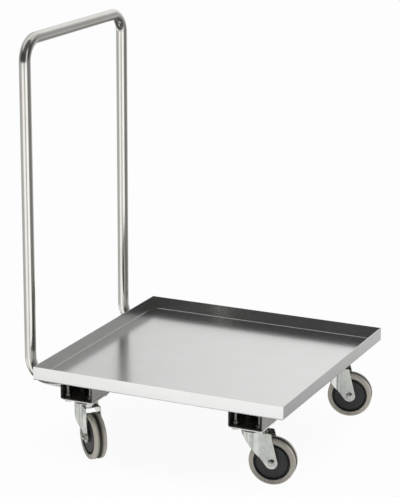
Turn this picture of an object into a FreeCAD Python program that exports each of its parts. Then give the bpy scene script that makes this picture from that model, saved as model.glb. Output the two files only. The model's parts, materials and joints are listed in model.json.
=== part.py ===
import FreeCAD, Part
import math
import os
from FreeCAD import Rotation, Vector

# A dishwasher rack trolley: a shallow steel tray on two folded channels, a bent tube push
# handle and four plate casters that swivel. Millimetres. The origin is on the floor, below
# the middle of the outline. +X runs from the handle to the far edge of the tray, +Y from the
# front to the back, +Z up.

# Tray: one sheet pan with upright walls
tray_side = 580.0
tray_height = 30.0
tray_sheet = 1.5
tray_bend = 1.5
tray_corner = 2.0

# Push handle: one bent tube, its feet turned under the tray and welded to the left channel
tube_diameter = 25.0
tube_wall = 1.5
handle_offset = 45.0
handle_spacing = 444.0
handle_rise = 733.0
handle_bend = 47.0
handle_foot_gap = 4.0

# Channels: folded sheet, open side up, one under each pair of casters
channel_height = 40.0
channel_sheet = 2.5
channel_bend = 1.0
channel_setback = 20.0

# Where the casters stand, measured in from the edges of the tray
swivel_inset_x = 93.0
swivel_inset_y = 65.0
caster_trail = 43.0
front_left_angle = -42.0
front_right_angle = 9.0
back_left_angle = 24.0
back_right_angle = 15.0

# Caster bolts, nuts and washers
bolt_spacing_x = 54.0
bolt_spacing_y = 62.0
bolt_diameter = 8.0
bolt_length = 35.0
bolt_hole_gap = 0.5
hex_width = 13.0
bolt_head_height = 5.3
nut_height = 6.5
washer_diameter = 14.8
washer_thickness = 1.6
washer_room = 0.1
thread_gap = 0.05

# Top plate with its pressed ball track
plate_thickness = 3.0
plate_edge_x = 10.0
plate_edge_y = 11.0
plate_corner = 7.0
seat_height = 2.8
seat_radius = 24.0

# Swivel bearing: two ball rings, the lower race and the kingpin
ball_diameter = 5.0
ball_circle = 35.0
lower_ball_diameter = 4.0
lower_ball_circle = 18.0
race_opening = 1.8
race_gap = 0.3
seat_gap = 0.1
lower_race_radius = 12.0
lower_race_thickness = 3.0
kingpin_diameter = 12.0
kingpin_head_radius = 10.0
kingpin_head_height = 3.5
kingpin_head_chamfer = 1.5
running_gap = 0.05
dust_seal_wall = 1.7

# Fork: pressed from one sheet
fork_sheet = 2.5
fork_head_radius = 26.0
fork_crease_radius = 3.0
fork_crown_edge = 7.0
fork_apron_drop = 5.5
fork_cheek_drop = 8.0
fork_lip_drop = 15.0
fork_cheek_reach = 41.0
fork_cheek_corner = 4.0
fork_end_radius = 13.5

# Wheel: plastic hub and rubber tyre
wheel_diameter = 100.0
wheel_headroom = 8.0
hub_side_gap = 0.3
hub_boss_radius = 12.0
hub_boss_draft = 1.5
hub_boss_height = 3.2
hub_ring_width = 4.5
hub_ring_depth = 4.0
hub_ring_draft = 1.0
hub_rim_wall = 1.5
tyre_width = 28.0
tyre_depth = 10.0
tyre_side_gap = 1.5
tyre_shoulder = 3.0
tyre_groove_width = 6.0
tyre_groove_depth = 5.0
tyre_bulge = 1.0

# Axle: bolt, lock nut and the sleeve between the cheeks
axle_diameter = 8.0
sleeve_diameter = 12.0
lock_nut_height = 8.0
lock_collar_height = 2.5
lock_collar_radius = 5.8
axle_end = 1.5

# Heights from the floor up, through the caster
axle_z = wheel_diameter / 2
kingpin_z = wheel_diameter + wheel_headroom
lower_race_z = kingpin_z + kingpin_head_height
lower_ball_z = lower_race_z + lower_race_thickness + race_gap + lower_ball_diameter / 2
crown_under_z = lower_ball_z + lower_ball_diameter / 2 + seat_gap
crown_z = crown_under_z + fork_sheet
ball_z = crown_z + race_opening / 2
seat_z = crown_z + race_opening
plate_z = seat_z + seat_height
channel_z = plate_z + plate_thickness
web_z = channel_z + channel_sheet
tray_z = channel_z + channel_height

# Widths that follow from what fits inside them
handle_reach = handle_offset + tube_diameter / 2
tray_left = (handle_reach - tray_side) / 2
tray_front = -tray_side / 2
channel_width = bolt_spacing_x + 2 * (washer_diameter / 2 + washer_room + channel_bend + channel_sheet)
fork_inside = tyre_width / 2 + tyre_side_gap
fork_half = fork_inside + fork_sheet
hub_rim_radius = wheel_diameter / 2 - tyre_depth
hub_disc_radius = hub_rim_radius - hub_rim_wall - hub_ring_width
swivel_x = (tray_left + swivel_inset_x, tray_left + tray_side - swivel_inset_x)
swivel_y = (tray_front + swivel_inset_y, tray_front + tray_side - swivel_inset_y)

# Two places count as one when they are closer than this
same_place = 1e-6

# Corner name, which swivel point along X and Y, and the angle of the trailing wheel
casters = (
    ("front_left", 0, 0, front_left_angle),
    ("front_right", 1, 0, front_right_angle),
    ("back_left", 0, 1, back_left_angle),
    ("back_right", 1, 1, back_right_angle),
)


def upright_cylinder(radius, low, high):
    return Part.makeCylinder(radius, high - low, Vector(0, 0, low))


def box(low, high):
    size = high - low
    return Part.makeBox(size.x, size.y, size.z, low)


def face_of(edges):
    return Part.Face(Part.Wire([edge.toShape() for edge in edges]))


def turned(edges, spin_axis):
    """A turned solid from a closed half section."""
    return face_of(edges).revolve(Vector(0, 0, 0), spin_axis, 360)


def outline(points):
    """Straight edges joining the points in a closed loop."""
    following = points[1:] + points[:1]
    return [Part.LineSegment(a, b) for a, b in zip(points, following)]


def hexagon(width, low, high):
    """Hexagonal prism, two of its flats facing along X."""
    corner = width / math.sqrt(3)
    angles = [math.radians(30 + 60 * side) for side in range(6)]
    points = [Vector(corner * math.cos(a), corner * math.sin(a), low) for a in angles]
    return face_of(outline(points)).extrude(Vector(0, 0, high - low))


def folded_edges(solid, z):
    """The edges of a solid that lie flat at one height."""
    edges = [edge for edge in solid.Edges if edge.BoundBox.ZLength < same_place]
    return [edge for edge in edges if abs(edge.BoundBox.Center.z - z) < same_place]


def upright_edges(solid):
    edges = [(edge, edge.BoundBox) for edge in solid.Edges]
    return [edge for edge, extent in edges if extent.ZLength > extent.XLength + extent.YLength]


def long_edges(solid, z):
    """The flat edges at one height that run the length of a channel."""
    return [edge for edge in folded_edges(solid, z) if edge.BoundBox.YLength > channel_width]


def tray():
    far = Vector(tray_left + tray_side, tray_front + tray_side, tray_z + tray_height)
    near = Vector(tray_left, tray_front, tray_z)
    wall = Vector(tray_sheet, tray_sheet, 0)
    outside = box(near, far)
    outside = outside.makeFillet(tray_corner, upright_edges(outside))
    outside = outside.makeFillet(tray_bend + tray_sheet, folded_edges(outside, tray_z))
    floor_z = tray_z + tray_sheet
    inside = box(near + wall + Vector(0, 0, tray_sheet), far - wall + Vector(0, 0, tray_sheet))
    inside = inside.makeFillet(tray_bend, folded_edges(inside, floor_z))
    return outside.cut(inside)


def handle():
    """The tube swept along its centre line, from one foot over the top bar to the other."""
    foot_x = swivel_x[0] - channel_width / 2
    foot_z = channel_z + channel_bend + channel_sheet + handle_foot_gap + tube_diameter / 2
    upright_x = tray_left - handle_offset
    top_z = tray_z + handle_rise - tube_diameter / 2
    half = handle_spacing / 2
    slant = math.sqrt(0.5)

    def foot_arc(y):
        centre = Vector(upright_x + handle_bend, y, foot_z + handle_bend)
        low = centre - Vector(0, 0, handle_bend)
        middle = centre - Vector(1, 0, 1) * (handle_bend * slant)
        high = centre - Vector(handle_bend, 0, 0)
        return low, middle, high

    def top_arc(side):
        centre = Vector(upright_x, side * (half - handle_bend), top_z - handle_bend)
        low = centre + Vector(0, side * handle_bend, 0)
        middle = centre + Vector(0, side, 1) * (handle_bend * slant)
        high = centre + Vector(0, 0, handle_bend)
        return low, middle, high

    near_foot = foot_arc(-half)
    far_foot = foot_arc(half)
    near_top = top_arc(-1)
    far_top = top_arc(1)
    start = Vector(foot_x, -half, foot_z)
    end = Vector(foot_x, half, foot_z)
    path = [
        Part.LineSegment(start, near_foot[0]),
        Part.Arc(*near_foot),
        Part.LineSegment(near_foot[2], near_top[0]),
        Part.Arc(*near_top),
        Part.LineSegment(near_top[2], far_top[2]),
        Part.Arc(*reversed(far_top)),
        Part.LineSegment(far_top[0], far_foot[2]),
        Part.Arc(*reversed(far_foot)),
        Part.LineSegment(far_foot[0], end),
    ]
    spine = Part.Wire([piece.toShape() for piece in path])

    def swept(radius):
        ring = Part.Wire(Part.makeCircle(radius, start, Vector(1, 0, 0)))
        return spine.makePipeShell([ring], True, False)

    return swept(tube_diameter / 2).cut(swept(tube_diameter / 2 - tube_wall))


def bolt_points(side):
    """The bolt centres of both casters under one channel."""
    points = []
    for y in swivel_y:
        for across in (-1, 1):
            for along in (-1, 1):
                shift_x = across * bolt_spacing_x / 2
                shift_y = along * bolt_spacing_y / 2
                points.append(Vector(swivel_x[side] + shift_x, y + shift_y, 0))
    return points


def bolt_hole(low, high):
    return upright_cylinder((bolt_diameter + bolt_hole_gap) / 2, low, high)


def channel(side):
    half = Vector(channel_width / 2, 0, 0)
    length = tray_side - 2 * channel_setback
    low = Vector(swivel_x[side], tray_front + channel_setback, channel_z)
    high = low + Vector(0, length, channel_height)
    wall = Vector(channel_sheet, 0, 0)
    outside = box(low - half, high + half)
    outside = outside.makeFillet(channel_bend + channel_sheet, long_edges(outside, channel_z))
    past_end = Vector(0, channel_sheet, 0)
    inside_low = low - half + wall - past_end + Vector(0, 0, channel_sheet)
    inside = box(inside_low, high + half - wall + past_end + Vector(0, 0, channel_sheet))
    inside = inside.makeFillet(channel_bend, long_edges(inside, web_z))
    holes = [bolt_hole(channel_z, web_z).translated(point) for point in bolt_points(side)]
    return outside.cut(inside).cut(Part.Compound(holes))


def on_every_bolt(solid):
    """One copy of a fastener at each bolt of the trolley."""
    points = bolt_points(0) + bolt_points(1)
    return Part.Compound([solid.translated(point) for point in points])


def caster_bolt():
    head = hexagon(hex_width, plate_z - bolt_head_height, plate_z)
    shank = upright_cylinder(bolt_diameter / 2, plate_z - bolt_head_height, plate_z + bolt_length)
    return head.fuse(shank).removeSplitter()


def caster_washer():
    disc = upright_cylinder(washer_diameter / 2, web_z, web_z + washer_thickness)
    return disc.cut(bolt_hole(web_z, web_z + washer_thickness))


def caster_nut():
    low = web_z + washer_thickness
    high = low + nut_height
    hole = upright_cylinder(bolt_diameter / 2 + thread_gap, low, high)
    return hexagon(hex_width, low, high).cut(hole)


def ring_tube(circle, section, z):
    """A ring of round section about the swivel axis."""
    return Part.makeTorus(circle / 2, section, Vector(0, 0, z))


def top_plate(turn):
    """Flat plate square to the channel, with its ball track pressed down round the kingpin."""
    half = Vector(bolt_spacing_x / 2 + plate_edge_x, bolt_spacing_y / 2 + plate_edge_y, 0)
    sheet = box(Vector(0, 0, plate_z) - half, Vector(0, 0, channel_z) + half)
    sheet = sheet.makeFillet(plate_corner, upright_edges(sheet))
    holes = []
    for across in (-1, 1):
        for along in (-1, 1):
            spot = Vector(across * bolt_spacing_x / 2, along * bolt_spacing_y / 2, 0)
            holes.append(bolt_hole(plate_z, channel_z).translated(spot))
    sheet = sheet.cut(Part.Compound(holes))
    sheet.rotate(Vector(0, 0, 0), Vector(0, 0, 1), -turn)
    seat = upright_cylinder(seat_radius, seat_z, channel_z)
    recess_wall = plate_thickness
    recess = upright_cylinder(seat_radius - recess_wall, seat_z + plate_thickness, channel_z)
    recess = recess.cut(upright_cylinder(kingpin_diameter / 2 + recess_wall, seat_z, channel_z))
    track = ring_tube(ball_circle, ball_diameter / 2 + seat_gap, ball_z)
    pin_hole = upright_cylinder(kingpin_diameter / 2 + running_gap, seat_z, channel_z)
    return sheet.fuse(seat).cut(recess).cut(track).cut(pin_hole).removeSplitter()


def dust_seal():
    low = crown_z + race_gap
    inner = seat_radius + seat_gap
    ring = upright_cylinder(inner + dust_seal_wall, low, plate_z)
    return ring.cut(upright_cylinder(inner, low, plate_z))


def kingpin():
    shank = kingpin_diameter / 2
    top_z = channel_z - seat_gap
    section = [
        Vector(0, 0, kingpin_z),
        Vector(kingpin_head_radius - kingpin_head_chamfer, 0, kingpin_z),
        Vector(kingpin_head_radius, 0, kingpin_z + kingpin_head_chamfer),
        Vector(kingpin_head_radius, 0, lower_race_z),
        Vector(shank, 0, lower_race_z),
        Vector(shank, 0, top_z),
        Vector(0, 0, top_z),
    ]
    return turned(outline(section), Vector(0, 0, 1))


def lower_race():
    top_z = lower_race_z + lower_race_thickness
    disc = upright_cylinder(lower_race_radius, lower_race_z, top_z)
    return disc.cut(upright_cylinder(kingpin_diameter / 2 + running_gap, lower_race_z, top_z))


def fork_plan(inset):
    """Plan of the fork: a round head that runs out into two parallel cheeks.

    The outside has no inset, and the inside is the same line set in by the sheet."""
    head = fork_head_radius - inset
    half = fork_half - inset
    crease = fork_crease_radius + inset
    centre = Vector(math.sqrt((head + crease) ** 2 - (half + crease) ** 2), half + crease, 0)
    to_head = centre * (-1 / centre.Length)
    to_cheek = Vector(0, -1, 0)
    middle = to_head + to_cheek
    middle.normalize()
    end_x = caster_trail + 2 * fork_end_radius
    right = (
        Vector(end_x, half, 0),
        centre + to_cheek * crease,
        centre + middle * crease,
        centre + to_head * crease,
    )
    left = [Vector(point.x, -point.y, 0) for point in right]
    return face_of([
        Part.LineSegment(right[0], right[1]),
        Part.Arc(*right[1:]),
        Part.Arc(right[3], Vector(-head, 0, 0), left[3]),
        Part.Arc(left[3], left[2], left[1]),
        Part.LineSegment(left[1], left[0]),
        Part.LineSegment(left[0], right[0]),
    ])


def tangent_point(start, centre, radius, side):
    """Where a line from a point touches a circle, seen in the side view."""
    reach = centre - start
    distance = reach.Length
    angle = math.atan2(reach.z, reach.x) + side * math.asin(radius / distance)
    length = math.sqrt(distance ** 2 - radius ** 2)
    return start + Vector(math.cos(angle), 0, math.sin(angle)) * length


def fork_side():
    """Side view of the fork: slanting apron, rounded axle end and slanting back edge."""
    axle = Vector(caster_trail, 0, axle_z)
    apron = Vector(-fork_head_radius, 0, crown_z - fork_apron_drop)
    apron_end = tangent_point(apron, axle, fork_end_radius, -1)
    corner = Vector(fork_cheek_reach, 0, crown_z - fork_cheek_drop)
    back_end = tangent_point(corner, axle, fork_end_radius, 1)
    down = back_end - corner
    down.normalize()
    turn = math.acos(down.x)
    cut_back = fork_cheek_corner * math.tan(turn / 2)
    corner_start = corner - Vector(cut_back, 0, 0)
    corner_middle = corner_start + Vector(math.sin(turn / 2), 0, math.cos(turn / 2) - 1) * fork_cheek_corner
    corner_end = corner + down * cut_back
    lowest = (apron_end - axle) + (back_end - axle)
    lowest.normalize()
    past = apron + (apron - apron_end) * (fork_sheet / (apron - apron_end).Length)
    above = crown_z + fork_sheet
    edges = [
        Part.LineSegment(past, Vector(past.x, 0, above)),
        Part.LineSegment(Vector(past.x, 0, above), Vector(corner_start.x, 0, above)),
        Part.LineSegment(Vector(corner_start.x, 0, above), corner_start),
        Part.Arc(corner_start, corner_middle, corner_end),
        Part.LineSegment(corner_end, back_end),
        Part.Arc(back_end, axle + lowest * fork_end_radius, apron_end),
        Part.LineSegment(apron_end, past),
    ]
    width = 2 * (fork_head_radius + fork_sheet)
    side = face_of(edges).extrude(Vector(0, width, 0))
    return side.translated(Vector(0, -width / 2, 0))


def fork():
    """One pressing: a domed crown with its ball track, an apron in front and two cheeks behind."""
    cheek_top_z = crown_z - fork_cheek_drop
    lip_z = crown_z - fork_lip_drop
    head = upright_cylinder(fork_head_radius, lip_z, crown_z)
    head = head.makeFillet(fork_crown_edge, folded_edges(head, crown_z))
    body = fork_plan(0).extrude(Vector(0, 0, cheek_top_z)).fuse(head)
    hollow_head = upright_cylinder(fork_head_radius - fork_sheet, lip_z, crown_under_z)
    inner_edge = fork_crown_edge - fork_sheet
    hollow_head = hollow_head.makeFillet(inner_edge, folded_edges(hollow_head, crown_under_z))
    hollow = fork_plan(fork_sheet).extrude(Vector(0, 0, lip_z)).fuse(hollow_head)
    behind = box(
        Vector(0, -fork_inside, 0),
        Vector(caster_trail + 2 * fork_end_radius, fork_inside, crown_z),
    )
    behind = behind.cut(upright_cylinder(fork_head_radius, 0, crown_z))
    body = body.cut(hollow).cut(behind).common(fork_side())
    track_section = ball_diameter / 2 + race_gap
    pressed_track = ring_tube(ball_circle, track_section + fork_sheet, ball_z).common(head)
    body = body.fuse(pressed_track).cut(ring_tube(ball_circle, track_section, ball_z))
    body = body.cut(upright_cylinder(kingpin_diameter / 2 + running_gap, lip_z, crown_z))
    return body.cut(across_fork(axle_diameter / 2 + thread_gap, -fork_half, fork_half)).removeSplitter()


def across_fork(radius, low, high):
    """A cylinder along the axle, between two places across the fork."""
    return Part.makeCylinder(radius, high - low, Vector(caster_trail, low, axle_z), Vector(0, 1, 0))


def axle_hexagon(low, high):
    prism = hexagon(hex_width, low, high)
    prism.rotate(Vector(0, 0, 0), Vector(1, 0, 0), -90)
    return prism.translated(Vector(caster_trail, 0, axle_z))


def axle_bolt():
    head = axle_hexagon(fork_half, fork_half + bolt_head_height)
    tip = -fork_half - lock_nut_height - axle_end
    return head.fuse(across_fork(axle_diameter / 2, tip, fork_half + bolt_head_height)).removeSplitter()


def axle_nut():
    outer = -fork_half - lock_nut_height
    shoulder = outer + lock_collar_height
    nut = axle_hexagon(shoulder, -fork_half).fuse(across_fork(lock_collar_radius, outer, shoulder))
    return nut.cut(across_fork(axle_diameter / 2 + thread_gap, outer, -fork_half)).removeSplitter()


def axle_sleeve():
    tube = across_fork(sleeve_diameter / 2, -fork_inside, fork_inside)
    return tube.cut(across_fork(axle_diameter / 2 + thread_gap, -fork_inside, fork_inside))


def on_axle(edges):
    """A turned piece of the wheel, drawn as radius along X and width along Y."""
    return turned(edges, Vector(0, 1, 0)).translated(Vector(caster_trail, 0, axle_z))


def both_sides(half_section):
    """A half section of (radius, width) points, closed by its own mirror image."""
    right = [Vector(radius, width, 0) for radius, width in half_section]
    left = [Vector(radius, -width, 0) for radius, width in reversed(half_section)]
    return right + left


def hub():
    boss = fork_inside - hub_side_gap
    disc = boss - hub_boss_height
    ring = disc - hub_ring_depth
    rim_inside = hub_rim_radius - hub_rim_wall
    rim = tyre_width / 2 - tyre_bulge
    section = both_sides([
        (sleeve_diameter / 2 + running_gap, boss),
        (hub_boss_radius, boss),
        (hub_boss_radius + hub_boss_draft, disc),
        (hub_disc_radius, disc),
        (hub_disc_radius + hub_ring_draft, ring),
        (rim_inside - hub_ring_draft, ring),
        (rim_inside, rim),
        (hub_rim_radius, rim),
    ])
    return on_axle(outline(section))


def tyre():
    """Rubber ring with bulged sides, rounded shoulders and a groove round the tread."""
    bore = hub_rim_radius + thread_gap
    outer = wheel_diameter / 2
    side = tyre_width / 2
    slant = math.sqrt(0.5)
    shoulder_r = outer - tyre_shoulder
    shoulder_y = side - tyre_shoulder
    groove_y = tyre_groove_width / 2
    groove_r = outer - tyre_groove_depth

    def half(sign):
        beside_rim = Vector(bore, sign * (side - tyre_bulge), 0)
        widest = Vector(shoulder_r, sign * side, 0)
        rounded = Vector(shoulder_r + tyre_shoulder * slant, sign * (shoulder_y + tyre_shoulder * slant), 0)
        tread = Vector(outer, sign * shoulder_y, 0)
        lip = Vector(outer, sign * groove_y, 0)
        floor = Vector(groove_r, sign * groove_y, 0)
        return beside_rim, widest, rounded, tread, lip, floor

    right = half(1)
    left = half(-1)
    edges = [
        Part.LineSegment(right[0], right[1]),
        Part.Arc(right[1], right[2], right[3]),
        Part.LineSegment(right[3], right[4]),
        Part.LineSegment(right[4], right[5]),
        Part.LineSegment(right[5], left[5]),
        Part.LineSegment(left[5], left[4]),
        Part.LineSegment(left[4], left[3]),
        Part.Arc(left[3], left[2], left[1]),
        Part.LineSegment(left[1], left[0]),
        Part.LineSegment(left[0], right[0]),
    ]
    return on_axle(edges)


def caster_pieces(angle):
    """Every piece of one caster, about its own swivel axis with the wheel trailing along +X."""
    return {
        "top_plate": top_plate(angle),
        "dust_seal": dust_seal(),
        "kingpin": kingpin(),
        "upper_ball_ring": ring_tube(ball_circle, ball_diameter / 2, ball_z),
        "lower_ball_ring": ring_tube(lower_ball_circle, lower_ball_diameter / 2, lower_ball_z),
        "lower_race": lower_race(),
        "fork": fork(),
        "axle_bolt": axle_bolt(),
        "axle_nut": axle_nut(),
        "axle_sleeve": axle_sleeve(),
        "hub": hub(),
        "tyre": tyre(),
    }


def trolley():
    nodes = {
        "tray": tray(),
        "handle": handle(),
        "left_channel": channel(0),
        "right_channel": channel(1),
        "caster_bolts": on_every_bolt(caster_bolt()),
        "caster_washers": on_every_bolt(caster_washer()),
        "caster_nuts": on_every_bolt(caster_nut()),
    }
    for corner, column, row, angle in casters:
        place = FreeCAD.Placement(
            Vector(swivel_x[column], swivel_y[row], 0),
            Rotation(Vector(0, 0, 1), angle),
        )
        for piece, shape in caster_pieces(angle).items():
            shape.Placement = place.multiply(shape.Placement)
            nodes[corner + "_" + piece] = shape
    return nodes


os.makedirs("parts", exist_ok=True)
for node, shape in trolley().items():
    shape.exportStep("parts/" + node + ".step")
    print(node, len(shape.Solids), "solids,", round(shape.Volume), "cubic mm")
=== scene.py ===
# %% [markdown]
# # A dishwasher rack trolley
# The trolley is a shallow steel tray on two folded channels, with a bent tube handle and four
# casters that swivel. Its solids are loaded as a frame that never moves here. This lesson gives
# every surface its finish, and models what the solids leave plain: the tube and the tray as clean
# sheets, moulded wheels, chamfered nuts, cut threads and weld beads.

# %% Load the frame
import json
import math

import bmesh
import bpy
from mathutils import Matrix, Vector


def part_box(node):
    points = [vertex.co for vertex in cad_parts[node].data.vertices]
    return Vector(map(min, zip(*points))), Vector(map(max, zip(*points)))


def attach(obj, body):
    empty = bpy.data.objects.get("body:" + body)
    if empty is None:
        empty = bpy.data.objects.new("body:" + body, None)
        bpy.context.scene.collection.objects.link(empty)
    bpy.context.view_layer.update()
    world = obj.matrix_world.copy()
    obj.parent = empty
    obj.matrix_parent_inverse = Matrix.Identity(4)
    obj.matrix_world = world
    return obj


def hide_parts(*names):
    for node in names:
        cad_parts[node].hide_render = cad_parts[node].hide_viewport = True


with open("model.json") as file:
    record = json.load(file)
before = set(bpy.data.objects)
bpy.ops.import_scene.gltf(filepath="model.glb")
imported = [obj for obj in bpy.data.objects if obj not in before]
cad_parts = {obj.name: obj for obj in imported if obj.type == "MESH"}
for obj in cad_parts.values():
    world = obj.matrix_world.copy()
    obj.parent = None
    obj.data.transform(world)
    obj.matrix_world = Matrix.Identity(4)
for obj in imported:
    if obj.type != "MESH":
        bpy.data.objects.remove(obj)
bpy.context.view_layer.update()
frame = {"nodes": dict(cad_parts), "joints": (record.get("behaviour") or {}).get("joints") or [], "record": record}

mm = 0.001
corners = ("front_left", "front_right", "back_left", "back_right")
tray_low, tray_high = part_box("tray")

# %% [markdown]
# ## The camera
# The picture was taken from the front right and from above the handle, about four metres away.
# Lines that are parallel on the tray run together only slowly, which tells the distance, and a long
# lens then fills the frame. The values were found by laying the tray's corners over the picture, so
# the camera's place is given from the tray's lowest corner. Blender measures the lens on the longer
# side of the image, which is the upright one.

# %% Place the camera
image_height = 497
focal_pixels = 1956
camera_from_tray = Vector((1991.9, -3451.4, 1395.0)) * mm
camera_yaw = math.radians(24.86)
camera_pitch = math.radians(15.5)
camera_roll = math.radians(0.23)

camera_data = bpy.data.cameras.new("camera")
camera_data.lens = camera_data.sensor_width * focal_pixels / image_height
camera = bpy.data.objects.new("camera", camera_data)
bpy.context.scene.collection.objects.link(camera)
turn = Matrix.Rotation(camera_yaw, 4, "Z")
tilt = Matrix.Rotation(math.pi / 2 - camera_pitch, 4, "X")
roll = Matrix.Rotation(camera_roll, 4, "Z")
camera.matrix_world = Matrix.Translation(tray_low + camera_from_tray) @ turn @ tilt @ roll
bpy.context.scene.camera = camera
bpy.context.scene.view_settings.view_transform = "Standard"
print("lens in mm:", round(camera_data.lens, 1))

# %% [markdown]
# ## Helpers for nodes
# Every finish and the studio itself are node trees. Adding each node by hand takes many lines, so
# one helper adds a node, sets its options and fills its inputs: a value is typed in, and another
# node's output is linked. The rest are steps that come up everywhere: arithmetic, mixing two values
# or two colours, and a ramp of greys.

# %% Add nodes to a tree
def add_node(tree, kind, inputs=None, **options):
    node = tree.nodes.new("ShaderNode" + kind)
    for name, value in options.items():
        setattr(node, name, value)
    for name, value in (inputs or {}).items():
        if isinstance(value, bpy.types.NodeSocket):
            tree.links.new(value, node.inputs[name])
        else:
            node.inputs[name].default_value = value
    return node


def calculate(tree, operation, first, second=0):
    """One step of arithmetic on values or outputs."""
    return add_node(tree, "Math", {0: first, 1: second}, operation=operation).outputs[0]


def mix_values(tree, factor, first, second):
    """Part of one value and part of another."""
    return add_node(tree, "Mix", {0: factor, 2: first, 3: second}, data_type="FLOAT").outputs[0]


def mix_colours(tree, factor, first, second):
    return add_node(tree, "Mix", {0: factor, 6: first, 7: second}, data_type="RGBA").outputs[2]


def grey(tone):
    return (tone, tone, tone, 1)


def tone_ramp(tree, factor, tones):
    """A ramp of greys: pairs of a place from 0 to 1 and its tone."""
    ramp = add_node(tree, "ValToRGB", {"Fac": factor})
    steps = ramp.color_ramp.elements
    for number, (place, tone) in enumerate(tones):
        step = steps[number] if number < 2 else steps.new(place)
        step.position = place
        step.color = grey(tone)
    return ramp.outputs["Color"]


# %% [markdown]
# ## The floor
# Bright metal has hardly any colour of its own: it shows the room, so the room is made with care,
# from the floor up. A plane that runs to the horizon would be simple, but the metal would mirror its
# far end. So the floor is a round sheet, a little wider than the trolley. The camera sees it almost
# white with a faint shadow that fades out to the rim, and the metal sees its real light and shade,
# which darkens everything under the tray. From below the sheet is clear, so that the underside can
# be looked at.

# %% Lay the floor
floor_radius = 0.43
floor_sides = 96

bpy.ops.object.select_all(action="DESELECT")
bpy.ops.mesh.primitive_circle_add(vertices=floor_sides, radius=floor_radius, fill_type="NGON")
floor = bpy.context.object
floor.name = "floor"
print("floor width in mm:", round(2 * floor_radius / mm))

# %% Paint the floor
paper_white = 0.98
floor_tone = 0.8
floor_glow = 0.4
shadow_share = 0.04
fade_start = 0.5 * floor_radius

floor_finish = bpy.data.materials.new("floor_sheet")
floor_finish.use_nodes = True
tree = floor_finish.node_tree
tree.nodes.clear()
matt = add_node(tree, "BsdfDiffuse", {"Color": grey(floor_tone)})
white = add_node(tree, "Emission", {"Color": grey(paper_white)})
place = add_node(tree, "TexCoord").outputs["Object"]
reach = add_node(tree, "VectorMath", {0: place}, operation="LENGTH").outputs["Value"]
fade = add_node(tree, "MapRange", {
    "Value": reach, "From Min": fade_start, "From Max": floor_radius,
    "To Min": 1 - shadow_share, "To Max": 1,
}).outputs["Result"]
rays = add_node(tree, "LightPath").outputs
share = mix_values(tree, rays["Is Camera Ray"], floor_glow, fade)
sheet = add_node(tree, "MixShader", {"Fac": share, 1: matt.outputs[0], 2: white.outputs[0]})
from_below = add_node(tree, "NewGeometry").outputs["Backfacing"]
clear = add_node(tree, "BsdfTransparent")
sheet = add_node(tree, "MixShader", {"Fac": from_below, 1: sheet.outputs[0], 2: clear.outputs[0]})
add_node(tree, "OutputMaterial", {"Surface": sheet.outputs[0]})
floor.data.materials.append(floor_finish)
print("floor nodes:", len(tree.nodes))

# %% [markdown]
# ## The room
# Lamps alone leave polished tube black between their reflections. A room has to stand round it, and
# a world can draw one without any walls. This one is four rings of tones, one above the other: the
# ground, the low walls, the high walls and the ceiling. Each is a ramp of greys by direction, so one
# strip can be moved until its reflection lies where the picture has it. Pale strips near the floor
# draw the long lights on the uprights. The high walls and the ceiling are dim in front, which keeps
# the tray's back wall dark, and far below there is only a deep tone.

# %% Choose the tones of the room
# Pairs of a direction and its tone. The direction is in degrees from the camera's side of the
# trolley, counted to the right.
deep_tone = 0.1
ground_tones = (
    (-180, 0.46), (-150, 0.46), (-128, 0.65), (-112, 1.15), (-76, 1.15), (-62, 0.55),
    (-53, 0.95), (-46, 1.05), (-38, 0.59), (-20, 0.59), (0, 0.95), (62, 0.95),
    (80, 0.3), (115, 0.28), (130, 0.34), (150, 0.32), (180, 0.46),
)
low_tones = (
    (-180, 0.6), (-150, 0.58), (-98, 0.53), (-68, 0.62), (-50, 1.4), (-20, 1.3),
    (-9, 0.5), (-2, 0.5), (10, 1.43), (41, 1.43), (53, 0.27), (115, 0.24),
    (130, 0.6), (138, 0.66), (160, 0.55), (180, 0.6),
)
high_tones = (
    (-180, 0.82), (-170, 0.6), (-130, 0.45), (-95, 0.26), (-75, 0.075), (18, 0.075),
    (30, 0.75), (46, 0.75), (58, 0.06), (100, 0.1), (115, 0.36), (130, 0.43),
    (146, 0.98), (172, 0.98), (180, 0.82),
)
ceiling_tones = ((-180, 0.8), (-75, 0.8), (-50, 0.12), (70, 0.12), (95, 0.75), (180, 0.8))
rings = (ground_tones, low_tones, high_tones, ceiling_tones)
print("tones in each ring:", [len(tones) for tones in rings])

# %% Stack the rings
# Where one ring gives way to the next: the sine of the rise, where the change starts and ends
ground_rise = (-0.6, -0.45)
low_rise = (-0.38, -0.3)
high_rise = (-0.16, 0.0)
ceiling_rise = (0.4, 0.7)

world = bpy.data.worlds.new("studio")
bpy.context.scene.world = world
world.use_nodes = True
room_tree = world.node_tree
room_tree.nodes.clear()
place = add_node(room_tree, "TexCoord").outputs["Generated"]
facing = add_node(room_tree, "Mapping", {
    "Vector": place, "Rotation": (0, 0, -camera_yaw)}).outputs["Vector"]
axes = add_node(room_tree, "SeparateXYZ", {0: facing}).outputs
toward = calculate(room_tree, "MULTIPLY", axes["Y"], -1)
angle = calculate(room_tree, "ARCTAN2", axes["X"], toward)
around = add_node(room_tree, "MapRange", {
    "Value": angle, "From Min": -math.pi, "From Max": math.pi,
}).outputs["Result"]


def round_the_room(tones):
    """A ramp from -180 to 180 degrees."""
    return tone_ramp(room_tree, around, [(degrees / 360 + 0.5, tone) for degrees, tone in tones])


def above(rise):
    """0 below one height in the room and 1 above another."""
    return add_node(room_tree, "MapRange", {
        "Value": axes["Z"], "From Min": rise[0], "From Max": rise[1],
    }, interpolation_type="SMOOTHSTEP").outputs["Result"]


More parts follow.
